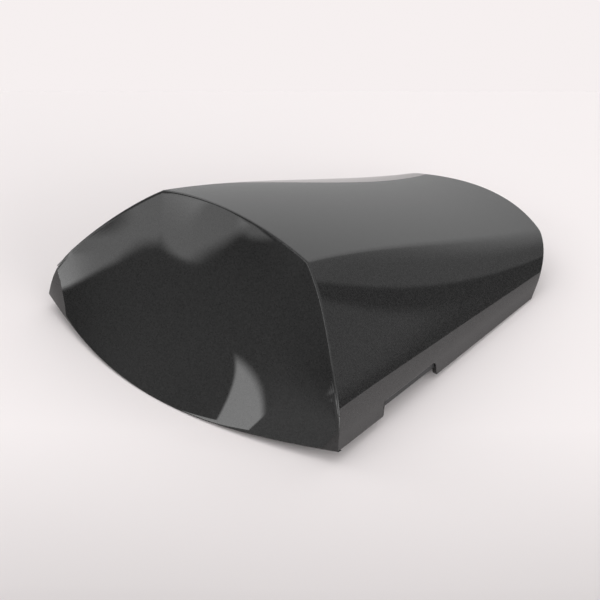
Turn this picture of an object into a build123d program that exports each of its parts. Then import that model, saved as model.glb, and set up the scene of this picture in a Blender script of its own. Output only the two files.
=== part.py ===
"""Seat cowl for a motorbike: one hollow moulding with a lock striker, its screws and two rubber buffers.

X runs across, Y from the front lip (-) to the tail (+), Z up. The origin lies on the surface that the
cowl rests on, midway along its length. All sizes are in millimetres.
"""

import os
from math import sqrt

from build123d import *

# Outer form. A list of values runs from the front lip (first) to the tail (last), blended in between.
LENGTH = 280.0
FRONT_HALF_WIDTH = 120.0
RIDGE_HALF_WIDTH = (61.5, 54.5, 52.0)
RIDGE_HEIGHT = (94.5, 91.0, 43.5, 21.0)
CROWN_RISE = (8.5, 7.0, 6.0)
RIM_HALF_WIDTH = (126.0, 95.0, 67.5)
RIM_RISE = (8.4, 0.5, 0.0)
FLANGE_HEIGHT = (20.5, 15.0, 6.0)
FLANGE_FLARE = 0.08
# Pull point of the flank's curve, as shares of its width and height: 0.5 and 0.5 would be a flat chamfer.
SHOULDER_OUT = (0.56, 0.57, 0.90)
SHOULDER_UP = (0.66, 0.60, 0.62)

# Front face: how far it stands back from the lip at three heights, on the centre line and at the sides.
FACE_HEIGHTS = (0.0, 50.0, 100.0)
FACE_BACK_CENTRE = (0.0, 38.5, 68.5)
FACE_BACK_SIDE = (25.7, 44.7, 91.0)

# Tail end: round in plan, tucked under from the crown's edge down.
TAIL_RADIUS = 137.0
TAIL_EDGE_HEIGHT = 25.8
TAIL_TUCK = 0.92
TAIL_ARC_SHARE = 0.85

WALL = 3.0
LONG_EDGE_RADIUS = 3.0
CREASE_BREAK = 0.6
TAIL_EDGE_BREAK = 0.6
# At an edge between two walls the inner form is drawn in by this share of the wall.
EDGE_INSET = 1 / 3

# Notch in each flange, with a stepped-in ledge that hangs below the notch's upper edge.
NOTCH_FRONT = -67.0
NOTCH_BACK = -12.0
NOTCH_DEPTH = 8.5
NOTCH_RADIUS = 3.0
NOTCH_FOOT_RADIUS = 3.0
LEDGE_STEP = 1.5
LEDGE_WALL = 3.5
LEDGE_DROP = 4.0
LEDGE_LAP = 6.0

# Ribs under the crown.
RIB_WALL = 2.0
RIB_HEIGHT = 6.0
RIB_FOOT = 30.0
RIB_HALF_PITCH = 34.0
RIB_STATIONS = (-40.0, 48.0)

# Rubber buffers, pushed into pillars of the moulding.
BUFFER_HALF_PITCH = 62.0
BUFFER_Y = -40.0
BUFFER_SEAT = 14.0
BUFFER_RADIUS = 10.0
BUFFER_HEIGHT = 8.0
BUFFER_BREAK = 2.5
STEM_RADIUS = 3.8
STEM_LENGTH = 12.0
STEM_CLEARANCE = 0.2

# Lock striker: a plate on two pillars, with a loop of bent strap welded under it.
STRIKER_Y = 22.0
STRIKER_SEAT = 36.0
PLATE_THICKNESS = 2.5
PLATE_WIDTH = 24.0
SCREW_HALF_PITCH = 28.0
STRAP_THICKNESS = 4.0
STRAP_WIDTH = 10.0
LOOP_HALF_WIDTH = 13.0
LOOP_DROP = 21.0
LOOP_BEND = 7.0

# Screws of the striker.
SCREW_RADIUS = 2.0
SCREW_LENGTH = 12.0
SCREW_HEAD_RADIUS = 5.0
SCREW_HEAD_HEIGHT = 3.2
SCREW_HEAD_BREAK = 1.0
CROSS_LENGTH = 5.4
CROSS_WIDTH = 1.2
CROSS_DEPTH = 1.8
SCREW_CLEARANCE = 0.1
PLATE_HOLE_CLEARANCE = 0.5

# Wall of a pillar round its blind bore, which runs a little past what goes in.
PILLAR_WALL = 4.5
BORE_SPARE = 2.0

# Hooks that slip under a cross-member at the tail.
HOOK_HALF_PITCH = 30.0
HOOK_WIDTH = 18.0
HOOK_Y = 74.0
HOOK_FOOT = 10.0
HOOK_WALL = 4.0
HOOK_REACH = 18.0
HOOK_ROUND = 3.0

# The solids that trim the form reach this far past it.
REACH = 30.0
# The untrimmed form is drawn through this many sections and runs this far past both ends.
STATIONS = 7
OVERRUN = 10.0
# A face whose normal leans further than this along Y is an end of the form.
END_FACE_NORMAL = 0.5


def along(values, y):
    """Blend of a few values, from the first at the front lip to the last at the tail."""
    share = y / LENGTH + 0.5
    level = list(values)
    while len(level) > 1:
        level = [a + (b - a) * share for a, b in zip(level, level[1:])]
    return level[0]


def parabola(start, middle, end):
    """Parabola from start to end that passes through middle."""
    pull = middle * 2 - (start + end) * 0.5
    return Bezier(start, pull, end)


def section(y, inset):
    """Cross-section of the solid form at y, drawn in by inset: crown, flanks, flanges and a flat foot."""
    ridge_x = along(RIDGE_HALF_WIDTH, y) - EDGE_INSET * inset
    ridge_z = along(RIDGE_HEIGHT, y) - inset
    crown_z = ridge_z + along(CROWN_RISE, y)
    flange = along(FLANGE_HEIGHT, y)
    crease_x = along(RIM_HALF_WIDTH, y) - FLANGE_FLARE * flange - inset
    crease_z = along(RIM_RISE, y) + flange - EDGE_INSET * inset
    pull_x = ridge_x + along(SHOULDER_OUT, y) * (crease_x - ridge_x)
    pull_z = crease_z + along(SHOULDER_UP, y) * (ridge_z - crease_z)
    foot_x = crease_x + FLANGE_FLARE * (crease_z + REACH)

    def right(x, z):
        return Vector(x, y, z)

    def left(x, z):
        return Vector(-x, y, z)

    edges = [parabola(left(ridge_x, ridge_z), right(0, crown_z), right(ridge_x, ridge_z))]
    for side in (right, left):
        edges.append(Bezier(side(ridge_x, ridge_z), side(pull_x, pull_z), side(crease_x, crease_z)))
        edges.append(Line(side(crease_x, crease_z), side(foot_x, -REACH)))
    edges.append(Line(left(foot_x, -REACH), right(foot_x, -REACH)))
    return Face(Wire(edges))


def hull(inset):
    """Long form through its cross-sections, past both ends of the cowl."""
    start = -LENGTH / 2 - OVERRUN
    step = (LENGTH + OVERRUN * 2) / (STATIONS - 1)
    return loft([section(start + step * k, inset) for k in range(STATIONS)])


def face_profile(x, inset):
    """Lengthwise slice at x of the space behind the front face."""
    share = (x / FRONT_HALF_WIDTH) ** 2
    backs = [c + (s - c) * share for c, s in zip(FACE_BACK_CENTRE, FACE_BACK_SIDE)]
    low, middle, high = [Vector(x, b + inset - LENGTH / 2, z) for b, z in zip(backs, FACE_HEIGHTS)]
    # The parabola is carried on below and above its three points by one interval on each side.
    bend = low - middle * 2 + high
    under = low * 2 - middle + bend
    over = high * 2 - middle + bend
    back = LENGTH + REACH
    lines = Polyline(over, Vector(x, back, over.Z), Vector(x, back, under.Z), under)
    return Face(Wire([parabola(under, middle, over), *lines.edges()]))


def behind_front_face(inset):
    """Space behind the front face, which bows forward across its width and scoops up its height."""
    side = FRONT_HALF_WIDTH + REACH
    return loft([face_profile(x, inset) for x in (-side, 0, side)])


def tail_outline(z, inset):
    """Plan outline at height z of the space ahead of the tail."""
    end = LENGTH / 2 - TAIL_TUCK * (TAIL_EDGE_HEIGHT - z) - inset
    half = TAIL_RADIUS * TAIL_ARC_SHARE
    corner = end - TAIL_RADIUS + sqrt(TAIL_RADIUS**2 - half**2)
    side = FRONT_HALF_WIDTH + REACH
    front = -LENGTH / 2 - REACH
    arc = ThreePointArc((-half, corner, z), (0, end, z), (half, corner, z))
    right = [(half, corner, z), (side, corner, z), (side, front, z)]
    left = [(-x, y, z) for x, y, z in reversed(right)]
    return Face(Wire([arc, *Polyline(*right, *left).edges()]))


def ahead_of_tail(inset):
    """Space ahead of the slanting tail end."""
    levels = (-REACH, max(RIDGE_HEIGHT) + REACH)
    return loft([tail_outline(z, inset) for z in levels], ruled=True)


def rim_profile(y):
    """Cross-section at y of the space above the rim, whose underside sags to the floor at the centre."""
    side = FRONT_HALF_WIDTH + REACH
    rise = along(RIM_RISE, y) * (side / along(RIM_HALF_WIDTH, y)) ** 2
    top = max(RIDGE_HEIGHT) + REACH
    start, end = Vector(-side, y, rise), Vector(side, y, rise)
    lines = Polyline(end, Vector(side, y, top), Vector(-side, y, top), start)
    return Face(Wire([parabola(start, Vector(0, y, 0), end), *lines.edges()]))


def above_rim():
    """Space above the rim, from the front corners that stand clear of the floor to the tail that rests on it."""
    end = LENGTH / 2 + OVERRUN
    return loft([rim_profile(y) for y in (-end, 0, end)])


def solid_form(inset):
    """Filled cowl, drawn in by inset and open-ended below."""
    return hull(inset) & behind_front_face(inset) & ahead_of_tail(inset)


def is_upper(face):
    """Whether a face is crown, flank or flange: it looks up or sideways and to neither end."""
    normal = face.normal_at(face.center())
    return abs(normal.Y) < END_FACE_NORMAL and normal.Z > 0


def upper_edges(form):
    """Edges of the crown, flanks and flanges, where an edge between two of them comes twice."""
    return [edge for face in form.faces().filter_by(is_upper) for edge in face.edges()]


def long_edges(form):
    """Edges between crown, flanks and flanges."""
    edges = upper_edges(form)
    return [edge for n, edge in enumerate(edges) if any(edge.is_same(other) for other in edges[:n])]


def end_edges(form, end_face):
    """Edges that an end face of the form shares with its crown, flanks and flanges."""
    edges = upper_edges(form)
    return [edge for edge in end_face.edges() if any(edge.is_same(other) for other in edges)]


def outer_form():
    """Filled cowl with its rim, rounded long edges, and a broken edge at the tail and at the front crease."""
    form = solid_form(0) & above_rim()
    form = fillet(long_edges(form), LONG_EDGE_RADIUS)
    form = chamfer(end_edges(form, form.faces().sort_by(Axis.Y)[-1]), TAIL_EDGE_BREAK)
    return chamfer(end_edges(form, form.faces().sort_by(Axis.Y)[0]), CREASE_BREAK)


def across(profile):
    """Slab of a profile in the YZ plane, right across the cowl."""
    return extrude(profile, FRONT_HALF_WIDTH + REACH, dir=(1, 0, 0), both=True)


def rim_height(y):
    """Height of the side rim at y."""
    return along(RIM_RISE, y)


def notch_slab():
    """What the two notches take away, rounded at the upper corners and where the sides meet the rim."""
    front, back = rim_height(NOTCH_FRONT), rim_height(NOTCH_BACK)
    foot = NOTCH_FOOT_RADIUS
    corners = [
        Vector(0, NOTCH_FRONT - foot * 2, front - foot),
        Vector(0, NOTCH_FRONT, front),
        Vector(0, NOTCH_FRONT, front + NOTCH_DEPTH),
        Vector(0, NOTCH_BACK, back + NOTCH_DEPTH),
        Vector(0, NOTCH_BACK, back),
        Vector(0, NOTCH_BACK + foot * 2, back - foot),
    ]
    outline = FilletPolyline(*corners, radius=[foot, NOTCH_RADIUS, NOTCH_RADIUS, foot])
    below = [Vector(0, corner.Y, -REACH) for corner in (corners[-1], corners[0])]
    return across(Face(Wire([*outline.edges(), *Polyline(corners[-1], *below, corners[0]).edges()])))


def ledges():
    """Stepped-in strip inside each notch, lapped onto the flange above it."""
    strip = solid_form(LEDGE_STEP) - solid_form(LEDGE_STEP + LEDGE_WALL)
    front, back = [(y, rim_height(y) + NOTCH_DEPTH) for y in (NOTCH_FRONT, NOTCH_BACK)]
    low = [Vector(0, y, z - LEDGE_DROP) for y, z in (front, back)]
    high = [Vector(0, y, z + LEDGE_LAP) for y, z in (back, front)]
    return strip & across(Face(Wire(Polyline(*low, *high, close=True).edges())))


def ribs(core):
    """Two lengthwise and two crosswise ribs under the crown."""
    height = max(RIDGE_HEIGHT) + REACH
    middle = RIB_FOOT + height / 2
    slabs = [Pos(x, 0, middle) * Box(RIB_WALL, LENGTH, height) for x in (-RIB_HALF_PITCH, RIB_HALF_PITCH)]
    slabs += [Pos(0, y, middle) * Box(FRONT_HALF_WIDTH * 2, RIB_WALL, height) for y in RIB_STATIONS]
    return [slab & core - solid_form(WALL + RIB_HEIGHT) for slab in slabs]


def pillar(core, x, y, foot, bore_radius):
    """Pillar from the roof of the cowl down to its foot."""
    height = max(RIDGE_HEIGHT) + REACH - foot
    return Pos(x, y, foot + height / 2) * Cylinder(bore_radius + PILLAR_WALL, height) & core


def blind_bore(x, y, foot, radius, depth):
    """Bore up into a pillar from its foot."""
    return Pos(x, y, foot + depth / 2) * Cylinder(radius, depth)


def hook(core, x):
    """Upright tongue with a foot that points to the tail."""
    back = HOOK_Y + HOOK_REACH
    inner = HOOK_FOOT + HOOK_WALL
    top = max(RIDGE_HEIGHT)
    corners = [
        Vector(0, HOOK_Y, top),
        Vector(0, HOOK_Y, HOOK_FOOT),
        Vector(0, back, HOOK_FOOT),
        Vector(0, back, inner),
        Vector(0, HOOK_Y + HOOK_WALL, inner),
        Vector(0, HOOK_Y + HOOK_WALL, top),
    ]
    angle = Face(Wire(Polyline(*corners, close=True).edges()))
    tongue = extrude(angle, HOOK_WIDTH / 2, dir=(1, 0, 0), both=True)
    inside = tongue.edges().filter_by(Axis.X).sort_by_distance(corners[4])[0]
    return Pos(x, 0, 0) * fillet(inside, HOOK_ROUND) & core


def cowl_shell():
    """The moulding: a hollow shell with notched flanges, ribs, pillars and hooks."""
    core = solid_form(WALL / 2)
    shell = outer_form() - solid_form(WALL) - notch_slab()
    shell += [ledges(), *ribs(core)]
    screw_bore = SCREW_RADIUS + SCREW_CLEARANCE
    stem_bore = STEM_RADIUS + STEM_CLEARANCE
    for side in (-1, 1):
        shell += hook(core, side * HOOK_HALF_PITCH)
        shell += pillar(core, side * SCREW_HALF_PITCH, STRIKER_Y, STRIKER_SEAT, screw_bore)
        shell += pillar(core, side * BUFFER_HALF_PITCH, BUFFER_Y, BUFFER_SEAT, stem_bore)
    for side in (-1, 1):
        shell -= blind_bore(
            side * SCREW_HALF_PITCH, STRIKER_Y, STRIKER_SEAT, screw_bore, SCREW_LENGTH + BORE_SPARE
        )
        shell -= blind_bore(side * BUFFER_HALF_PITCH, BUFFER_Y, BUFFER_SEAT, stem_bore, STEM_LENGTH + BORE_SPARE)
    return shell


def strap_outline(inset):
    """Outline of the striker's loop seen from the front, moved in by an inset."""
    half = LOOP_HALF_WIDTH - inset
    top = STRIKER_SEAT - PLATE_THICKNESS / 2
    low = STRIKER_SEAT - PLATE_THICKNESS - LOOP_DROP + inset
    corners = [Vector(-half, 0, top), Vector(-half, 0, low), Vector(half, 0, low), Vector(half, 0, top)]
    bends = FilletPolyline(*corners, radius=LOOP_BEND - inset)
    return Face(Wire([*bends.edges(), Line(corners[-1], corners[0])]))


def lock_striker():
    """Plate with two screw holes and a loop of bent strap welded under it."""
    hole = SCREW_RADIUS + PLATE_HOLE_CLEARANCE
    outline = SlotCenterToCenter(2 * SCREW_HALF_PITCH, PLATE_WIDTH)
    for side in (-1, 1):
        outline -= Pos(side * SCREW_HALF_PITCH, 0) * Circle(hole)
    plate = Pos(0, STRIKER_Y, STRIKER_SEAT - PLATE_THICKNESS) * extrude(outline, PLATE_THICKNESS)
    loop = strap_outline(0) - strap_outline(STRAP_THICKNESS)
    strap = extrude(loop, STRAP_WIDTH / 2, dir=(0, 1, 0), both=True)
    return plate + Pos(0, STRIKER_Y, 0) * strap


def striker_screws():
    """Two pan-head screws with cross recesses, driven upwards through the plate."""
    seat = STRIKER_SEAT - PLATE_THICKNESS
    head = Cylinder(SCREW_HEAD_RADIUS, SCREW_HEAD_HEIGHT)
    head = chamfer(head.edges().sort_by(Axis.Z)[0], SCREW_HEAD_BREAK)
    recess = Box(CROSS_LENGTH, CROSS_WIDTH, CROSS_DEPTH) + Box(CROSS_WIDTH, CROSS_LENGTH, CROSS_DEPTH)
    head -= Pos(0, 0, (CROSS_DEPTH - SCREW_HEAD_HEIGHT) / 2) * recess
    shank = Pos(0, 0, (SCREW_HEAD_HEIGHT + PLATE_THICKNESS + SCREW_LENGTH) / 2) * Cylinder(
        SCREW_RADIUS, PLATE_THICKNESS + SCREW_LENGTH
    )
    screw = Pos(0, STRIKER_Y, seat - SCREW_HEAD_HEIGHT / 2) * (head + shank)
    return Compound(children=[Pos(side * SCREW_HALF_PITCH, 0, 0) * screw for side in (-1, 1)])


def rubber_buffers():
    """Two mushroom buffers, each with its stem in a pillar."""
    head = Cylinder(BUFFER_RADIUS, BUFFER_HEIGHT)
    head = chamfer(head.edges().sort_by(Axis.Z)[0], BUFFER_BREAK)
    stem = Pos(0, 0, (BUFFER_HEIGHT + STEM_LENGTH) / 2) * Cylinder(STEM_RADIUS, STEM_LENGTH)
    buffer = Pos(0, BUFFER_Y, BUFFER_SEAT - BUFFER_HEIGHT / 2) * (head + stem)
    return Compound(children=[Pos(side * BUFFER_HALF_PITCH, 0, 0) * buffer for side in (-1, 1)])


def main():
    """Write each piece to its own file."""
    os.makedirs("parts", exist_ok=True)
    pieces = {
        "cowl_shell": cowl_shell(),
        "lock_striker": lock_striker(),
        "striker_screws": striker_screws(),
        "rubber_buffers": rubber_buffers(),
    }
    for name, piece in pieces.items():
        export_step(piece, f"parts/{name}.step")


main()
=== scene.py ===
"""Dressed model of a motorbike seat cowl: a painted, hollow moulding with its striker and rubber buffers.

The outer form is one numpy surface worked out from a few laws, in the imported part's own frame.
The laws are in millimetres, and the finished meshes are in metres.
"""

import logging
import math
from collections.abc import Callable
from dataclasses import dataclass
from enum import Enum

import bmesh
import bpy
import numpy as np
from mathutils import Matrix, Vector
from mathutils.bvhtree import BVHTree


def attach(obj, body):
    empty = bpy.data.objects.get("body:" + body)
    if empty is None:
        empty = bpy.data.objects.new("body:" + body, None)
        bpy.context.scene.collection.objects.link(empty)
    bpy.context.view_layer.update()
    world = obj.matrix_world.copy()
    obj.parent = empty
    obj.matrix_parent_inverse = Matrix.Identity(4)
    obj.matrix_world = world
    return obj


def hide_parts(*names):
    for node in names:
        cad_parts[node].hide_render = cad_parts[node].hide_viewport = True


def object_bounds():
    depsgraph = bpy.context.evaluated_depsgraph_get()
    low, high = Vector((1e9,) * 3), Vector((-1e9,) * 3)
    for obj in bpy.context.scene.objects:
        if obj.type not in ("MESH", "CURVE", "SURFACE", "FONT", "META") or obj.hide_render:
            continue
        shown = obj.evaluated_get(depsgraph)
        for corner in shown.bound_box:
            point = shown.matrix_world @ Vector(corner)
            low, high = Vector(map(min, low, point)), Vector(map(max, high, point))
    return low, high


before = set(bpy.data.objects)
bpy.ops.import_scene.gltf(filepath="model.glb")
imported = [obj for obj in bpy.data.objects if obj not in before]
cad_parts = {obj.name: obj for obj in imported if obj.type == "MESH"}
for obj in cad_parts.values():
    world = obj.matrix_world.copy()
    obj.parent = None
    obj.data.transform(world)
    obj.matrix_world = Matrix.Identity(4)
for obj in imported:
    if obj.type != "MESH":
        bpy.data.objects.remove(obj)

LOG = logging.getLogger("seat_cowl")
CAD_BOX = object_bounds()
MILLIMETRE = 0.001
MIRROR = np.array([-1.0, 1.0, 1.0])
OPAQUE = 1.0
# Crown, ridge, flank, bend and flange of the half section.
STRETCHES = 5
# A rounding's pull point stays between these shares of the way from its start to its end.
PULL_LIMITS = (0.2, 0.8)
# Smallest divisors, for lines that run side by side and for triangles without area.
NEARLY_PARALLEL = 1e-9
NO_AREA = 1e-12
SUBSTITUTIONS = 40
# Points closer than the gap are merged, and edges shorter than the sliver are dropped, in metres.
MERGE_GAP = 0.000004
SLIVER = 0.000002
# Edges that turn by more degrees than this stay sharp.
SHARP_ANGLE = 38.0
Values = tuple[float, ...]
Tone = tuple[float, float, float]
Law = Callable[[np.ndarray, np.ndarray], np.ndarray]
Socket = bpy.types.NodeSocket
NodeParts = tuple[bpy.types.Material, bpy.types.Nodes, bpy.types.NodeLinks, bpy.types.Node]


class Coat(Enum):
    """Finishes of the moulding, in the order of its material slots."""

    PAINTED = 0
    BARE = 1


class Ramp(Enum):
    """Which way the light changes across a panel's edge, as the angle grows."""

    RISING = 1.0
    FALLING = -1.0


@dataclass(frozen=True)
class CowlForm:
    """Laws of the outer form, in millimetres.

    A tuple of values runs from the front lip (first) to the tail (last) and is blended in between.
    """

    length: float = 280.0
    face_half_width: float = 120.0
    ridge_half_width: Values = (61.5, 54.5, 52.0)
    ridge_height: Values = (94.5, 91.0, 43.5, 21.0)
    crown_rise: Values = (8.5, 7.0, 6.0)
    rim_half_width: Values = (126.0, 95.0, 67.5)
    rim_rise: Values = (8.4, 0.5, 0.0)
    flange_height: Values = (20.5, 15.0, 6.0)
    flange_flare: float = 0.08
    shoulder_out: Values = (0.56, 0.57, 0.90)
    shoulder_up: Values = (0.66, 0.60, 0.62)
    face_heights: Values = (0.0, 50.0, 100.0)
    face_back_centre: Values = (0.0, 38.5, 68.5)
    face_back_side: Values = (25.7, 44.7, 91.0)
    tail_radius: float = 137.0
    tail_edge_height: float = 25.8
    tail_tuck: float = 0.92
    ridge_setback: Values = (1.0, 1.8, 3.0)
    bend_setback: Values = (12.0, 3.0, 1.5)
    bend_climb: float = 1.4
    rim_reach: float = 10.0
    rim_side: float = 150.0

    def along(self, values: Values, y: np.ndarray) -> np.ndarray:
        """Blend a few values over the length by repeated straight blends between neighbours.

        Args:
            values: the values from the front lip to the tail.
            y: places along the cowl.

        Returns:
            The blended value at each place.
        """
        share = np.asarray(y, float) / self.length + 0.5
        level = [np.full_like(share, value) for value in values]
        while len(level) > 1:
            level = [a + (b - a) * share for a, b in zip(level, level[1:])]
        return level[0]

    def rim(self, x: np.ndarray, y: np.ndarray) -> np.ndarray:
        """Height of the rim: a parabola across, whose side height runs through three stations along.

        Args:
            x: places across.
            y: places along.

        Returns:
            The rim's height at each place.
        """
        end = self.length / 2 + self.rim_reach
        stations = np.array([-end, 0.0, end])
        heights = self.along(self.rim_rise, stations)
        heights = heights * (self.rim_side / self.along(self.rim_half_width, stations)) ** 2
        return parabola_through(stations, heights, y) * (x / self.rim_side) ** 2

    def front(self, x: np.ndarray, z: np.ndarray) -> np.ndarray:
        """Place along Y of the front face: a parabola in height, blended from centre to side by x squared.

        Args:
            x: places across.
            z: heights.

        Returns:
            Y of the front face at each place.
        """
        centre = parabola_through(self.face_heights, self.face_back_centre, z)
        side = parabola_through(self.face_heights, self.face_back_side, z)
        return -self.length / 2 + centre + (side - centre) * (x / self.face_half_width) ** 2

    def tail(self, x: np.ndarray, z: np.ndarray) -> np.ndarray:
        """Place along Y of the tail face: an arc in plan that moves forward as it goes down.

        Args:
            x: places across.
            z: heights.

        Returns:
            Y of the tail face at each place.
        """
        bow = self.tail_radius - np.sqrt(self.tail_radius**2 - x**2)
        return self.length / 2 - self.tail_tuck * (self.tail_edge_height - z) - bow

    def section(self, u: np.ndarray, y: np.ndarray, edge_lift: np.ndarray) -> tuple[np.ndarray, np.ndarray]:
        """Half section at y: crown, ridge, flank, bend and flange, one for each whole step of u from 0 to 5.

        The crown is a parabola, the flank a curve pulled to one point and the flange a straight line. The
        ridge and the bend are short curves whose pull point is where the neighbours' tangents cross.

        Args:
            u: place round the section, from the crown's centre line (0) to the rim (5).
            y: places along the cowl.
            edge_lift: how far the flange's lower edge stands above the rim.

        Returns:
            X and Z at each place.
        """
        ridge = np.stack([self.along(self.ridge_half_width, y), self.along(self.ridge_height, y)])
        rise = self.along(self.crown_rise, y)
        flange = self.along(self.flange_height, y)
        crease = np.stack(
            [
                self.along(self.rim_half_width, y) - self.flange_flare * flange,
                self.along(self.rim_rise, y) + flange,
            ]
        )
        span = crease - ridge
        pull = ridge + np.stack(
            [self.along(self.shoulder_out, y) * span[0], (1 - self.along(self.shoulder_up, y)) * span[1]]
        )

        setback = self.along(self.ridge_setback, y)
        crown_x = ridge[0] - setback
        crown_end = np.stack([crown_x, crown_height(crown_x, ridge, rise)])
        crown_way = np.stack([np.ones_like(rise), -2 * rise * crown_x / ridge[0] ** 2])
        flank_start = setback / (2 * np.linalg.norm(pull - ridge, axis=0))
        bend = self.along(self.bend_setback, y)
        flank_stop = 1 - self.bend_climb * bend / (2 * np.linalg.norm(crease - pull, axis=0))
        first, first_way = curve(ridge, pull, crease, flank_start)
        last, last_way = curve(ridge, pull, crease, flank_stop)
        down = np.stack([np.full_like(rise, self.flange_flare), np.full_like(rise, -1.0)])
        flange_top = crease + bend * down
        ridge_pull = crossing(crown_end, crown_way, first, first_way)
        bend_pull = crossing(last, last_way, flange_top, down)

        steps = np.arange(float(STRETCHES)).reshape(STRETCHES, *[1] * u.ndim)
        part = np.clip(u[None] - steps, 0, 1)
        across = part[0] * crown_x
        crown = np.stack([across, crown_height(across, ridge, rise)])
        ridge_round = curve(crown_end, ridge_pull, first, part[1])[0]
        flank = curve(ridge, pull, crease, flank_start + (flank_stop - flank_start) * part[2])[0]
        bend_round = curve(last, bend_pull, flange_top, part[3])[0]
        foot_x = flange_top[0] + self.flange_flare * flange_top[1]
        foot_z = self.rim(foot_x, y) + edge_lift
        wall_z = flange_top[1] + (foot_z - flange_top[1]) * part[4]
        wall = np.stack([flange_top[0] + self.flange_flare * (flange_top[1] - wall_z), wall_z])
        which = [u <= stop for stop in range(1, STRETCHES)]
        return tuple(
            np.select(which, [crown[n], ridge_round[n], flank[n], bend_round[n]], wall[n]) for n in (0, 1)
        )


def parabola_through(places: Values, values: Values, at: np.ndarray) -> np.ndarray:
    """Parabola through three points, as the sum of each value times the product of its two other distances.

    Args:
        places: the three places.
        values: the value at each of them.
        at: where to work it out.

    Returns:
        The parabola's value at each place.
    """
    total = np.zeros_like(np.asarray(at, float))
    for n in range(3):
        others = [places[m] for m in range(3) if m != n]
        total = total + values[n] * np.prod([(at - o) / (places[n] - o) for o in others], axis=0)
    return total


def crown_height(x: np.ndarray, ridge: np.ndarray, rise: np.ndarray) -> np.ndarray:
    """Height of the crown's parabola, which falls by the rise from the centre line to the ridge."""
    return ridge[1] + rise * (1 - (x / ridge[0]) ** 2)


def curve(
    start: np.ndarray, pull: np.ndarray, end: np.ndarray, t: np.ndarray
) -> tuple[np.ndarray, np.ndarray]:
    """Curve from start to end pulled towards one point: weights (1-t)^2, 2t(1-t) and t^2.

    Args:
        start: first point.
        pull: pull point.
        end: last point.
        t: place along the curve, 0 to 1.

    Returns:
        The points and the directions there.
    """
    point = (1 - t) ** 2 * start + 2 * t * (1 - t) * pull + t**2 * end
    return point, (1 - t) * (pull - start) + t * (end - pull)


def crossing(start: np.ndarray, way: np.ndarray, end: np.ndarray, end_way: np.ndarray) -> np.ndarray:
    """Point where the line from start along way meets the line through end along end_way.

    Args:
        start: point on the first line.
        way: direction of the first line.
        end: point on the second line.
        end_way: direction of the second line.

    Returns:
        The crossing, held near the middle of the two points where the lines are almost parallel.
    """
    gap = end - start
    turn = way[0] * end_way[1] - way[1] * end_way[0]
    turn = np.where(np.abs(turn) < NEARLY_PARALLEL, NEARLY_PARALLEL, turn)
    reach = (gap[0] * end_way[1] - gap[1] * end_way[0]) / turn
    whole = np.linalg.norm(gap, axis=0) / np.linalg.norm(way, axis=0)
    return start + way * np.clip(reach, PULL_LIMITS[0] * whole, PULL_LIMITS[1] * whole)


def eased(count: int, start: float, stop: float) -> np.ndarray:
    """Places from start to stop that crowd towards both ends, on a half wave of the cosine."""
    return start + (stop - start) * (1 - np.cos(np.linspace(0, math.pi, count))) / 2


def grid_quads(rows: int, columns: int, offset: int) -> np.ndarray:
    """Corner numbers of each quad of a grid, row by row.

    Args:
        rows: rows of points.
        columns: columns of points.
        offset: number of the grid's first point.

    Returns:
        One row of four point numbers for each quad.
    """
    number = offset + np.arange(rows * columns).reshape(rows, columns)
    corners = [number[:-1, :-1], number[:-1, 1:], number[1:, 1:], number[1:, :-1]]
    return np.stack(corners, axis=-1).reshape(-1, 4)


@dataclass(frozen=True)
class PaintFinish:
    """Dark grey metallic paint with fine flakes under a clear coat."""

    name: str = "metallic_grey_paint"
    dark: float = 0.0135
    light: float = 0.026
    flakes_per_metre: float = 1700.0
    flake_middle: float = 0.5
    flake_tilt: float = 0.22
    metallic: float = 0.20
    roughness: float = 0.42
    under_gloss: float = 0.0
    coat_weight: float = 1.0
    coat_roughness: float = 0.025

    def material(self) -> bpy.types.Material:
        """Make the paint: each flake has its own tone and tilt under a smooth coat.

        Returns:
            The material.
        """
        material, nodes, links, shader = new_material(self.name)
        coordinates = nodes.new("ShaderNodeTexCoord")
        flakes = nodes.new("ShaderNodeTexVoronoi")
        flakes.inputs["Scale"].default_value = self.flakes_per_metre
        links.new(coordinates.outputs["Object"], flakes.inputs["Vector"])
        tone = nodes.new("ShaderNodeMapRange")
        tone.inputs["To Min"].default_value = self.dark
        tone.inputs["To Max"].default_value = self.light
        split = nodes.new("ShaderNodeSeparateColor")
        links.new(flakes.outputs["Color"], split.inputs["Color"])
        links.new(split.outputs["Red"], tone.inputs["Value"])
        grey = nodes.new("ShaderNodeCombineColor")
        for channel in ("Red", "Green", "Blue"):
            links.new(tone.outputs["Result"], grey.inputs[channel])
        links.new(grey.outputs["Color"], shader.inputs["Base Color"])
        geometry = nodes.new("ShaderNodeNewGeometry")
        lean = nodes.new("ShaderNodeVectorMath")
        lean.operation = "SUBTRACT"
        lean.inputs[1].default_value = (self.flake_middle,) * 3
        links.new(flakes.outputs["Color"], lean.inputs[0])
        tilt = nodes.new("ShaderNodeVectorMath")
        tilt.operation = "MULTIPLY_ADD"
        tilt.inputs[1].default_value = (self.flake_tilt,) * 3
        links.new(lean.outputs["Vector"], tilt.inputs[0])
        links.new(geometry.outputs["Normal"], tilt.inputs[2])
        straight = nodes.new("ShaderNodeVectorMath")
        straight.operation = "NORMALIZE"
        links.new(tilt.outputs["Vector"], straight.inputs[0])
        links.new(straight.outputs["Vector"], shader.inputs["Normal"])
        shader.inputs["Metallic"].default_value = self.metallic
        shader.inputs["Roughness"].default_value = self.roughness
        shader.inputs["Specular IOR Level"].default_value = self.under_gloss
        shader.inputs["Coat Weight"].default_value = self.coat_weight
        shader.inputs["Coat Roughness"].default_value = self.coat_roughness
        return material


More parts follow.
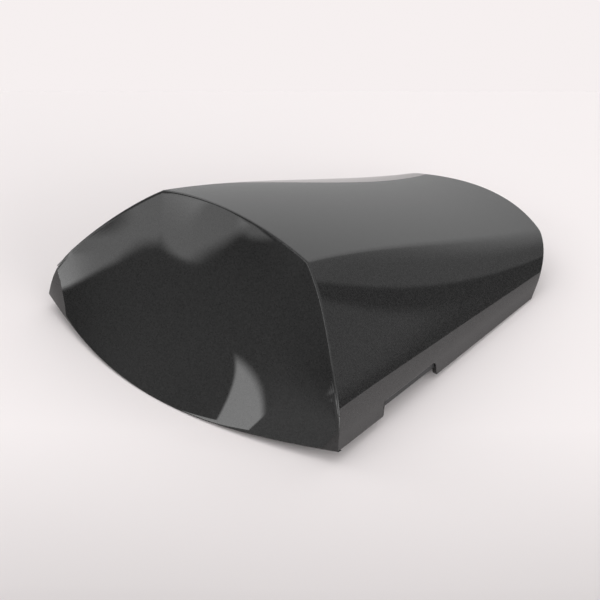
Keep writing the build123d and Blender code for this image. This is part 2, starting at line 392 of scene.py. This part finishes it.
@dataclass(frozen=True)
class GrainFinish:
    """Grained surface: two tones mixed by noise, with roughness and bump from the same noise."""

    name: str
    dark: Tone
    light: Tone
    grains_per_metre: float
    stretch: tuple[float, float, float]
    metallic: float
    smooth: float
    rough: float
    bump_height: float
    bump_strength: float = 0.5
    octaves: float = 4.0
    tone_limits: tuple[float, float] = (0.3, 0.7)

    def material(self) -> bpy.types.Material:
        """Make the grained material.

        Returns:
            The material.
        """
        material, nodes, links, shader = new_material(self.name)
        coordinates = nodes.new("ShaderNodeTexCoord")
        scale = nodes.new("ShaderNodeMapping")
        scale.inputs["Scale"].default_value = self.stretch
        links.new(coordinates.outputs["Object"], scale.inputs["Vector"])
        grain = nodes.new("ShaderNodeTexNoise")
        grain.inputs["Scale"].default_value = self.grains_per_metre
        grain.inputs["Detail"].default_value = self.octaves
        links.new(scale.outputs["Vector"], grain.inputs["Vector"])
        tones = nodes.new("ShaderNodeValToRGB")
        for element, limit, tone in zip(tones.color_ramp.elements, self.tone_limits, (self.dark, self.light)):
            element.position = limit
            element.color = (*tone, OPAQUE)
        links.new(grain.outputs["Fac"], tones.inputs["Fac"])
        links.new(tones.outputs["Color"], shader.inputs["Base Color"])
        sheen = nodes.new("ShaderNodeMapRange")
        sheen.inputs["To Min"].default_value = self.smooth
        sheen.inputs["To Max"].default_value = self.rough
        links.new(grain.outputs["Fac"], sheen.inputs["Value"])
        links.new(sheen.outputs["Result"], shader.inputs["Roughness"])
        bump = nodes.new("ShaderNodeBump")
        bump.inputs["Distance"].default_value = self.bump_height
        bump.inputs["Strength"].default_value = self.bump_strength
        links.new(grain.outputs["Fac"], bump.inputs["Height"])
        links.new(bump.outputs["Normal"], shader.inputs["Normal"])
        shader.inputs["Metallic"].default_value = self.metallic
        return material


def new_material(name: str) -> NodeParts:
    """Start a node material.

    Args:
        name: the material's name.

    Returns:
        The material, its nodes, its links and its main shader.
    """
    material = bpy.data.materials.new(name)
    material.use_nodes = True
    tree = material.node_tree
    return material, tree.nodes, tree.links, tree.nodes["Principled BSDF"]


BARE_MOULDING = GrainFinish(
    name="bare_black_moulding",
    dark=(0.012, 0.012, 0.013),
    light=(0.020, 0.020, 0.021),
    grains_per_metre=900.0,
    stretch=(1, 1, 1),
    metallic=0.0,
    smooth=0.45,
    rough=0.65,
    bump_height=0.00008,
)
ZINC_PLATE = GrainFinish(
    name="zinc_plated_steel",
    dark=(0.46, 0.45, 0.41),
    light=(0.62, 0.61, 0.57),
    grains_per_metre=600.0,
    stretch=(1, 0.08, 1),
    metallic=1.0,
    smooth=0.26,
    rough=0.44,
    bump_height=0.00003,
)
SCREW_ZINC = GrainFinish(
    name="zinc_plated_screw",
    dark=(0.40, 0.40, 0.39),
    light=(0.58, 0.58, 0.57),
    grains_per_metre=1500.0,
    stretch=(1, 1, 0.3),
    metallic=1.0,
    smooth=0.24,
    rough=0.40,
    bump_height=0.00003,
)
SOFT_RUBBER = GrainFinish(
    name="black_rubber",
    dark=(0.016, 0.016, 0.016),
    light=(0.030, 0.030, 0.030),
    grains_per_metre=1300.0,
    stretch=(1, 1, 1),
    metallic=0.0,
    smooth=0.70,
    rough=0.90,
    bump_height=0.00006,
)


@dataclass
class CowlBody:
    """The moulding: a painted outer surface with a rounded rim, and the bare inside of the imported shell."""

    form: CowlForm
    wall: float = 3.0
    rim_radius: float = 0.7
    edge_setback: float = 1.1
    notch_front: float = -67.0
    notch_back: float = -12.0
    notch_depth: float = 8.5
    notch_radius: float = 3.0
    notch_foot: float = 3.0
    notch_foot_rise: float = 0.618
    notch_hair: float = 0.02
    columns: tuple[int, ...] = (34, 6, 44, 5, 16)
    face_rows: int = 64
    round_rows: int = 7
    body_rows: int = 150
    notch_rows: int = 14
    tail_rows: int = 26
    bead_steps: int = 6
    climb_step: float = 0.1
    skin_near: float = 2.4
    skin_match: float = 0.6
    front_facing: float = -0.5
    dish_depth: float = 2.3
    dish_border: float = 34.0
    dish_foot: float = 40.0

    def column_places(self) -> np.ndarray:
        """Places round the half section, evenly spread inside each of its five stretches."""
        stretches = [
            np.linspace(n, n + 1, count, endpoint=False) for n, count in enumerate(self.columns)
        ]
        return np.concatenate([*stretches, [float(STRETCHES)]])

    def notch_lift(self, y: np.ndarray) -> np.ndarray:
        """Height of the notch above the rim: flat, with rounded upper corners and rounded feet just outside.

        Args:
            y: places along the cowl.

        Returns:
            The lift of the flange's lower edge.
        """
        inside = np.minimum(y - self.notch_front, self.notch_back - y)
        short = np.clip(self.notch_radius - inside, 0, self.notch_radius)
        round_top = self.notch_depth - self.notch_radius + np.sqrt(self.notch_radius**2 - short**2)
        foot_reach = np.clip(self.notch_foot + inside, 0, self.notch_foot)
        foot = self.notch_foot_rise * self.notch_foot - np.sqrt(self.notch_foot**2 - foot_reach**2)
        return np.where(inside > 0, round_top, np.maximum(foot, 0.0))

    def row_shares(self, front: float, back: float) -> np.ndarray:
        """Shares of the way from front to tail for the body's rows, with more of them at the notch's ends.

        Args:
            front: Y of the rim's front corner.
            back: Y of the rim's rear corner.

        Returns:
            Rising shares from 0 to 1.
        """
        even = np.linspace(front, back, self.body_rows)
        reach = self.notch_radius
        near = [
            eased(self.notch_rows, self.notch_front, self.notch_front + reach)[1:],
            eased(self.notch_rows, self.notch_back - reach, self.notch_back)[:-1],
            eased(self.notch_rows, self.notch_front - self.notch_foot, self.notch_front)[:-1],
            eased(self.notch_rows, self.notch_back, self.notch_back + self.notch_foot)[1:],
        ]
        hairs = np.array([-self.notch_hair, self.notch_hair])
        ends = np.concatenate([self.notch_front + hairs, self.notch_back + hairs])
        places = np.unique(np.concatenate([even, *near, ends]))
        return (places - front) / (back - front)

    def ends(self, u: np.ndarray) -> tuple[np.ndarray, np.ndarray]:
        """Where each column of the body meets the front face and the tail, found by repeated substitution.

        The first guess is a third of the length either side of the middle.

        Args:
            u: places round the half section.

        Returns:
            Y at the front crease and Y at the tail edge.
        """
        lift = np.full_like(u, self.rim_radius)
        front = np.full_like(u, -self.form.length / 3)
        back = np.full_like(u, self.form.length / 3)
        for _ in range(SUBSTITUTIONS):
            front = self.form.front(*self.form.section(u, front, lift))
            back = self.form.tail(*self.form.section(u, back, lift))
        return front, back

    def outer_grid(self) -> tuple[np.ndarray, np.ndarray]:
        """Right half of the outer surface as one grid of points.

        Rows run up the front face at constant x, over the front crease, along the body, over the tail edge
        and down the tail face. Each edge is a curve from a setback on one side to a setback on the other,
        pulled to the sharp edge.

        Returns:
            Points with shape (rows, columns, 3), and the numbers of the body's rows.
        """
        form = self.form
        u = self.column_places()
        front, back = self.ends(u)
        share = self.row_shares(front[-1], back[-1])
        lift = self.rim_radius + self.notch_lift(front[-1] + (back[-1] - front[-1]) * share)

        crease = self.sheet(u, front, np.array(self.rim_radius))
        edge = self.sheet(u, back, np.array(self.rim_radius))
        face = self.dished(self.end_face(crease, form.front, self.face_rows), crease)
        tail = self.end_face(edge, form.tail, self.tail_rows)
        length = back - front
        start = np.minimum(self.edge_setback / length, 0.5)
        stop = 1 - start
        trunk = self.sheet(u, front + length * np.clip(share[:, None], start, stop), lift[:, None])
        over_front = self.rounded(face[-1], crease, trunk[0])
        over_tail = self.rounded(trunk[-1], edge, tail[-1])
        grid = np.concatenate([face, over_front, trunk, over_tail, tail[::-1]])
        first = len(face) + len(over_front)
        return grid, np.arange(first, first + len(trunk))

    def sheet(self, u: np.ndarray, y: np.ndarray, lift: np.ndarray) -> np.ndarray:
        """Points of the body at places u round the section and y along it, as the section's law gives them.

        Args:
            u: places round the half section, one for each column.
            y: places along the cowl, whose last axis runs over the columns.
            lift: how far the flange's lower edge stands above the rim.

        Returns:
            Points with the shape of y and a last axis of three.
        """
        x, z = self.form.section(np.broadcast_to(u, y.shape), y, np.broadcast_to(lift, y.shape))
        return np.stack([x, y, z], axis=-1)

    def dished(self, face: np.ndarray, crease: np.ndarray) -> np.ndarray:
        """Sink the front face inside its borders.

        The sink is the depth times 1-(1-a)^2 times 1-(1-b)^2. Here a is the distance from the crease as a
        share of the border, and b is the height above the lip as a share of the foot, each at most 1.

        Args:
            face: rows of the front face, lowest first.
            crease: the sharp crease above it, one point for each column.

        Returns:
            The rows, set back in the middle and unmoved at the crease and the lip.
        """
        gap = np.linalg.norm(face[:, :, None, ::2] - crease[None, None, :, ::2], axis=-1).min(axis=-1)
        from_crease = np.clip(gap / self.dish_border, 0, 1)
        from_lip = np.clip((face[..., 2] - face[:1, :, 2]) / self.dish_foot, 0, 1)
        depth = self.dish_depth * (1 - (1 - from_crease) ** 2) * (1 - (1 - from_lip) ** 2)
        return face + depth[..., None] * np.array([0.0, 1.0, 0.0])

    def rounded(self, start: np.ndarray, corner: np.ndarray, end: np.ndarray) -> np.ndarray:
        """Rows of a rounded edge between two rows, without those two rows."""
        t = np.linspace(0, 1, self.round_rows + 2)[1:-1, None, None]
        return curve(start, corner, end, t)[0]

    def end_face(self, edge: np.ndarray, law: Law, rows: int) -> np.ndarray:
        """Rows of an end face, from the rim up to a setback below its upper edge, at constant x.

        Args:
            edge: the sharp upper edge, one point for each column.
            law: gives Y of the face from x and z.
            rows: number of rows.

        Returns:
            Points with shape (rows, columns, 3), lowest row first.
        """
        x = edge[:, 0]
        low = self.form.rim(x, edge[:, 1])
        for _ in range(SUBSTITUTIONS):
            low = self.form.rim(x, law(x, low))
        low = np.minimum(low + self.rim_radius, edge[:, 2])
        high = np.maximum(edge[:, 2] - self.edge_setback, low)
        z = low + (high - low) * np.linspace(0, 1, rows)[:, None]
        wide = np.broadcast_to(x, z.shape)
        return np.stack([wide, law(wide, z), z], axis=-1)

    def rim_strip(self, path: np.ndarray, up: np.ndarray, inward: np.ndarray) -> np.ndarray:
        """Rim: a quarter round carried along the lower edge, and a flat strip to the inner wall.

        Args:
            path: points of the lower edge, raised by the rim's radius.
            up: direction up the outer surface at each point.
            inward: direction to the inner wall at each point.

        Returns:
            Points with shape (profile steps, path points, 3).
        """
        angle = np.linspace(0, math.pi / 2, self.bead_steps + 1)
        sink = np.append(np.sin(angle), 1.0)[:, None, None] * self.rim_radius
        tuck = (1 - np.cos(angle)) * self.rim_radius
        tuck = np.append(tuck, self.wall)[:, None, None]
        return path - sink * up + tuck * inward

    def meshes(self) -> tuple[np.ndarray, np.ndarray]:
        """Both halves of the outer surface with the rim all round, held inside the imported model's box.

        Returns:
            Points in metres, and quads.
        """
        half, trunk = self.outer_grid()
        grid = np.concatenate([half[:, :0:-1] * MIRROR, half], axis=1)
        front, tail, right = grid[0], grid[-1], grid[trunk, -1]
        left = right * MIRROR
        path = np.concatenate(
            [front, front[-1:], right, tail[-1:], tail[::-1], tail[:1], left[::-1], front[:1]]
        )
        counts = [len(front), 1, len(right), 1, len(tail), 1, len(left), 1]
        ways = np.array([[0, 1], [-1, 1], [-1, 0], [-1, -1], [0, -1], [1, -1], [1, 0], [1, 1]], float)
        inward = np.repeat(np.column_stack([ways, np.zeros(len(ways))]), counts, axis=0)
        front_up = self.climb(front, self.form.front)
        tail_up = self.climb(tail, self.form.tail)
        side_up = np.array([[-self.form.flange_flare, 0.0, 1.0]]) / math.hypot(1, self.form.flange_flare)
        right_up = np.repeat(side_up, len(right), axis=0)
        right_side = np.concatenate([side_up, right_up, side_up])
        up = np.concatenate([front_up, right_side, tail_up[::-1], right_side * MIRROR])
        strip = self.rim_strip(path, up, inward)
        strip = np.concatenate([strip, strip[:, :1]], axis=1)
        points = np.concatenate([grid.reshape(-1, 3), strip.reshape(-1, 3)])
        outer_quads = grid_quads(*grid.shape[:2], 0)
        rim_quads = grid_quads(*strip.shape[:2], grid[..., 0].size)[:, ::-1]
        points = np.clip(points * MILLIMETRE, *np.asarray(CAD_BOX))
        return points, np.concatenate([outer_quads, rim_quads])

    def climb(self, edge: np.ndarray, law: Law) -> np.ndarray:
        """Unit direction straight up an end face at each point of its lower edge."""
        rise = law(edge[:, 0], edge[:, 2] + self.climb_step) - law(edge[:, 0], edge[:, 2])
        way = np.column_stack([np.zeros_like(rise), rise, np.full_like(rise, self.climb_step)])
        return way / np.linalg.norm(way, axis=1, keepdims=True)

    def build(self) -> bpy.types.Object:
        """Make the moulding: painted outside and bare inside in one mesh.

        Returns:
            The finished piece.
        """
        points, quads = self.meshes()
        inside, triangles = self.inside_of(packed_node("cowl_shell"), points, quads)
        mesh = bpy.data.meshes.new("cowl_body")
        faces = [*quads.tolist(), *(triangles + len(points)).tolist()]
        mesh.from_pydata(np.concatenate([points, inside]), [], faces)
        finishes = {Coat.PAINTED: PaintFinish(), Coat.BARE: BARE_MOULDING}
        for coat in Coat:
            mesh.materials.append(finishes[coat].material())
        which = np.repeat([Coat.PAINTED.value, Coat.BARE.value], [len(quads), len(triangles)])
        mesh.polygons.foreach_set("material_index", which.astype(np.int32))
        weld(mesh)
        return place(mesh, "cowl_body", ("cowl_shell",))

    def inside_of(
        self, node: bpy.types.Object, points: np.ndarray, quads: np.ndarray
    ) -> tuple[np.ndarray, np.ndarray]:
        """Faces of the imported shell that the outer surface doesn't cover.

        Args:
            node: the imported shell.
            points: points of the outer surface, in metres.
            quads: quads of the outer surface.

        Returns:
            Points and triangles of the inside.
        """
        source = node.data
        source.calc_loop_triangles()
        spots = np.empty(len(source.vertices) * 3)
        source.vertices.foreach_get("co", spots)
        corners = np.empty(len(source.loop_triangles) * 3, np.int32)
        source.loop_triangles.foreach_get("vertices", corners)
        spots, corners = spots.reshape(-1, 3), corners.reshape(-1, 3)
        tree = BVHTree.FromPolygons(points.tolist(), quads.tolist())
        triangle = spots[corners]
        middle = triangle.mean(axis=1)
        facing = np.cross(triangle[:, 1] - triangle[:, 0], triangle[:, 2] - triangle[:, 0])
        facing /= np.maximum(np.linalg.norm(facing, axis=1, keepdims=True), NO_AREA)
        dish = np.where(facing[:, 1] < self.front_facing, self.dish_depth, 0.0)
        reach = (self.skin_near + dish) * MILLIMETRE
        normals = [tree.find_nearest(Vector(spot), near)[1] for spot, near in zip(middle, reach)]
        normals = np.array([normal or Vector() for normal in normals])
        covered = (normals * facing).sum(axis=1) > self.skin_match
        return spots, corners[~covered]


def packed_node(name: str) -> bpy.types.Object:
    """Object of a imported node."""
    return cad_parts[name]


def weld(mesh: bpy.types.Mesh) -> None:
    """Merge points that coincide, drop loose ones and shade smooth between sharp edges."""
    work = bmesh.new()
    work.from_mesh(mesh)
    bmesh.ops.remove_doubles(work, verts=work.verts, dist=MERGE_GAP)
    bmesh.ops.dissolve_degenerate(work, edges=work.edges, dist=SLIVER)
    loose = [vertex for vertex in work.verts if not vertex.link_faces]
    bmesh.ops.delete(work, geom=loose, context="VERTS")
    work.to_mesh(mesh)
    work.free()
    mesh.shade_smooth()
    mesh.set_sharp_from_angle(angle=math.radians(SHARP_ANGLE))


def place(mesh: bpy.types.Mesh, name: str, nodes: tuple[str, ...]) -> bpy.types.Object:
    """Put a mesh into the scene as a piece that rides on the part.

    Args:
        mesh: the finished mesh.
        name: the piece's name.
        nodes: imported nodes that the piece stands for.

    Returns:
        The piece.
    """
    piece = bpy.data.objects.new(name, mesh)
    bpy.context.scene.collection.objects.link(piece)
    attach(piece, "root")
    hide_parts(*nodes)
    LOG.info("%s: %d points, %d faces", name, len(mesh.vertices), len(mesh.polygons))
    return piece


@dataclass(frozen=True)
class Hardware:
    """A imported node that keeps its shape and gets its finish."""

    node: str
    slot: str
    finish: GrainFinish

    def build(self) -> bpy.types.Object:
        """Make a smooth-shaded copy of the node in its finish.

        Returns:
            The piece.
        """
        mesh = packed_node(self.node).data.copy()
        mesh.materials.clear()
        mesh.materials.append(self.finish.material())
        weld(mesh)
        return place(mesh, f"{self.node}_dressed", (self.node,))


def maths(tree: bpy.types.NodeTree, operation: str, *values: Socket | float) -> Socket:
    """Add a maths node.

    Args:
        tree: node tree that it joins.
        operation: what it works out.
        values: its inputs, each a socket or a number.

    Returns:
        The socket with the result.
    """
    node = tree.nodes.new("ShaderNodeMath")
    node.operation = operation
    for socket, value in zip(node.inputs, values):
        if isinstance(value, Socket):
            tree.links.new(value, socket)
        else:
            socket.default_value = value
    return node.outputs["Value"]


@dataclass(frozen=True)
class LightPanel:
    """A far, soft-edged light panel, in degrees: azimuth from the tail's side towards +X, and elevation.

    Each of its two sides moves by its lean in azimuth for each degree that the elevation falls.
    """

    azimuth: tuple[float, float]
    elevation: tuple[float, float]
    level: float
    fade: tuple[float, float]
    lean: tuple[float, float] = (0.0, 0.0)

    def build(self, tree: bpy.types.NodeTree, turn: Socket, tilt: Socket) -> Socket:
        """Add the panel's nodes: its level times a smooth step at each of its four edges.

        Args:
            tree: node tree of the world.
            turn: socket with the azimuth in degrees.
            tilt: socket with the elevation in degrees.

        Returns:
            Socket with the panel's light.
        """
        sides = tuple(maths(tree, "MULTIPLY_ADD", tilt, lean, turn) for lean in self.lean)
        light = self.level
        for sources, limits, fade in zip((sides, (tilt, tilt)), (self.azimuth, self.elevation), self.fade):
            for source, edge, ramp in zip(sources, limits, (Ramp.RISING, Ramp.FALLING)):
                step = tree.nodes.new("ShaderNodeMapRange")
                step.interpolation_type = "SMOOTHSTEP"
                step.inputs["From Min"].default_value = edge - ramp.value * fade
                step.inputs["From Max"].default_value = edge + ramp.value * fade
                tree.links.new(source, step.inputs["Value"])
                light = maths(tree, "MULTIPLY", step.outputs["Result"], light)
        return light


@dataclass(frozen=True)
class Studio:
    """Pale floor, a dim room with soft light panels, and the camera."""

    azimuth: float = 45.378
    elevation: float = 30.174
    distance: float = 1.8
    target: tuple[float, float, float] = (-0.02386, 0.0, -0.00352)
    focal_pixels: float = 3026.2
    image_pixels: float = 600.0
    sensor_width: float = 36.0
    floor_half_width: float = 0.46
    floor_front: float = -0.46
    floor_back: float = 0.29
    floor_tint: Tone = (1.0, 0.945, 0.945)
    # Shares of the way from the floor's front edge to its back edge, each with its tone: the floor darkens
    # towards the front as a painted shade, a painted falloff of the light.
    floor_painted_falloff: tuple[tuple[float, float], ...] = (
        (0.12, 0.43),
        (0.25, 0.68),
        (0.45, 0.88),
        (0.9, 0.865),
    )
    floor_roughness: float = 0.6
    floor_specular: float = 0.1
    floor_mottle: float = 0.02
    floor_mottle_scale: float = 6.0
    room_tone: float = 0.04
    panel_tint: Tone = (1.0, 1.0, 1.0)
    backdrop_tone: Tone = (0.92, 0.87, 0.87)
    panels: tuple[LightPanel, ...] = (
        # Overhead and high behind the tail.
        LightPanel((-200, 200), (50, 100), 0.76, (1, 14)),
        LightPanel((-120, 30), (34, 56), 0.50, (20, 12)),
        LightPanel((-80, 1), (7.5, 90), 0.64, (10, 32)),
        # Low behind the tail and to its right.
        LightPanel((-84, 24.2), (-60, 40), 0.36, (0.8, 8), (0, 0.33)),
        LightPanel((28.6, 70), (5, 40), 0.28, (0.8, 6), (0.37, 0)),
        LightPanel((46, 112), (0, 55), 0.60, (5, 6)),
        # In front and to the left.
        LightPanel((-145.8, -121.4), (-40, 18.6), 1.50, (1.2, 1), (-0.55, 0.68)),
        LightPanel((-147.5, -141.5), (-40, 9.5), 1.30, (1.5, 1.5)),
        LightPanel((-135, -122), (-40, 9), 1.30, (1, 7), (0, 0.68)),
        LightPanel((-132.6, -116.4), (26.3, 36), 3.50, (0.5, 0.8), (0.87, 0.95)),
        LightPanel((-200, -150), (-20, 45), 0.55, (9, 8)),
        LightPanel((-150, -105), (16, 60), 0.26, (10, 14)),
        LightPanel((-111, -82), (-10, 45), 1.40, (3, 8)),
        # In front and to the right.
        LightPanel((112, 178), (6, 50), 1.00, (5, 6)),
        LightPanel((50, 118), (2, 24), 5.0, (4, 3)),
    )

    def build(self) -> None:
        """Set up floor, room and camera."""
        self.floor()
        self.room()
        self.camera()
        bpy.context.scene.view_settings.view_transform = "Standard"

    def floor(self) -> None:
        """Lay the pale floor under the cowl, square to the camera."""
        sides = [-self.floor_half_width, self.floor_half_width]
        x, y = np.meshgrid(sides, [self.floor_front, self.floor_back])
        turn = math.radians(self.azimuth)
        cos, sin = math.cos(turn), math.sin(turn)
        points = np.stack([x * cos - y * sin, x * sin + y * cos, np.zeros_like(x)], axis=-1).reshape(-1, 3)
        mesh = bpy.data.meshes.new("floor")
        mesh.from_pydata(points, [], grid_quads(2, 2, 0).tolist())
        mesh.materials.append(self.floor_material())
        floor = bpy.data.objects.new("floor", mesh)
        bpy.context.scene.collection.objects.link(floor)

    def floor_material(self) -> bpy.types.Material:
        """Make the floor's finish: darker towards the front as a painted shade and paler towards the back,
        with a faint mottling.

        Returns:
            The material.
        """
        material, nodes, links, shader = new_material("pale_floor")
        coordinates = nodes.new("ShaderNodeTexCoord")
        turned = nodes.new("ShaderNodeMapping")
        turned.inputs["Rotation"].default_value = (0, 0, -math.radians(self.azimuth))
        links.new(coordinates.outputs["Object"], turned.inputs["Vector"])
        split = nodes.new("ShaderNodeSeparateXYZ")
        links.new(turned.outputs["Vector"], split.inputs["Vector"])
        share = nodes.new("ShaderNodeMapRange")
        share.inputs["From Min"].default_value = self.floor_front
        share.inputs["From Max"].default_value = self.floor_back
        links.new(split.outputs["Y"], share.inputs["Value"])
        spots = nodes.new("ShaderNodeTexNoise")
        spots.inputs["Scale"].default_value = self.floor_mottle_scale
        links.new(coordinates.outputs["Object"], spots.inputs["Vector"])
        spot, way_back = spots.outputs["Fac"], share.outputs["Result"]
        mottled = maths(material.node_tree, "MULTIPLY_ADD", spot, self.floor_mottle, way_back)
        # Painted shade: the floor's tone darkens from back to front, standing in for light that falls off
        # towards the front.
        tones = nodes.new("ShaderNodeValToRGB")
        stops = tones.color_ramp.elements
        for position, tone in self.floor_painted_falloff:
            stops.new(position).color = (*(tone * tint for tint in self.floor_tint), OPAQUE)
        stops.remove(stops[0])
        stops.remove(stops[-1])
        links.new(mottled, tones.inputs["Fac"])
        links.new(tones.outputs["Color"], shader.inputs["Base Color"])
        shader.inputs["Roughness"].default_value = self.floor_roughness
        shader.inputs["Specular IOR Level"].default_value = self.floor_specular
        return material

    def room(self) -> None:
        """Light the stage from a dim room with soft panels, each a function of the direction alone.

        What the camera sees past the floor is a plain pale backdrop.
        """
        world = bpy.data.worlds.new("room")
        bpy.context.scene.world = world
        world.use_nodes = True
        tree = world.node_tree
        coordinates = tree.nodes.new("ShaderNodeTexCoord")
        split = tree.nodes.new("ShaderNodeSeparateXYZ")
        tree.links.new(coordinates.outputs["Generated"], split.inputs["Vector"])
        turn = maths(tree, "DEGREES", maths(tree, "ARCTAN2", split.outputs["X"], split.outputs["Y"]))
        tilt = maths(tree, "DEGREES", maths(tree, "ARCSINE", split.outputs["Z"]))
        total = self.room_tone
        for panel in self.panels:
            total = maths(tree, "ADD", panel.build(tree, turn, tilt), total)
        light = tree.nodes["Background"]
        light.inputs["Color"].default_value = (*self.panel_tint, OPAQUE)
        tree.links.new(total, light.inputs["Strength"])
        backdrop = tree.nodes.new("ShaderNodeBackground")
        backdrop.inputs["Color"].default_value = (*self.backdrop_tone, OPAQUE)
        path = tree.nodes.new("ShaderNodeLightPath")
        seen = tree.nodes.new("ShaderNodeMixShader")
        tree.links.new(path.outputs["Is Camera Ray"], seen.inputs["Fac"])
        tree.links.new(light.outputs["Background"], seen.inputs[1])
        tree.links.new(backdrop.outputs["Background"], seen.inputs[2])
        tree.links.new(seen.outputs["Shader"], tree.nodes["World Output"].inputs["Surface"])

    def camera(self) -> None:
        """Stand the camera at the photograph's angle."""
        turn, tilt = math.radians(self.azimuth), math.radians(self.elevation)
        back = Vector((math.sin(turn) * math.cos(tilt), -math.cos(turn) * math.cos(tilt), math.sin(tilt)))
        data = bpy.data.cameras.new("camera")
        data.sensor_width = self.sensor_width
        data.lens = self.focal_pixels / self.image_pixels * data.sensor_width
        camera = bpy.data.objects.new("camera", data)
        camera.matrix_world = Matrix.Translation(Vector(self.target) + back * self.distance) @ (
            (-back).to_track_quat("-Z", "Y").to_matrix().to_4x4()
        )
        bpy.context.scene.collection.objects.link(camera)
        bpy.context.scene.camera = camera


def main() -> None:
    """Build the cowl, its hardware and the studio in order."""
    logging.basicConfig(level=logging.INFO)
    CowlBody(CowlForm()).build()
    for piece in (
        Hardware("lock_striker", "striker", ZINC_PLATE),
        Hardware("striker_screws", "screw", SCREW_ZINC),
        Hardware("rubber_buffers", "buffer", SOFT_RUBBER),
    ):
        piece.build()
    Studio().build()


if __name__ == "__main__":
    main()
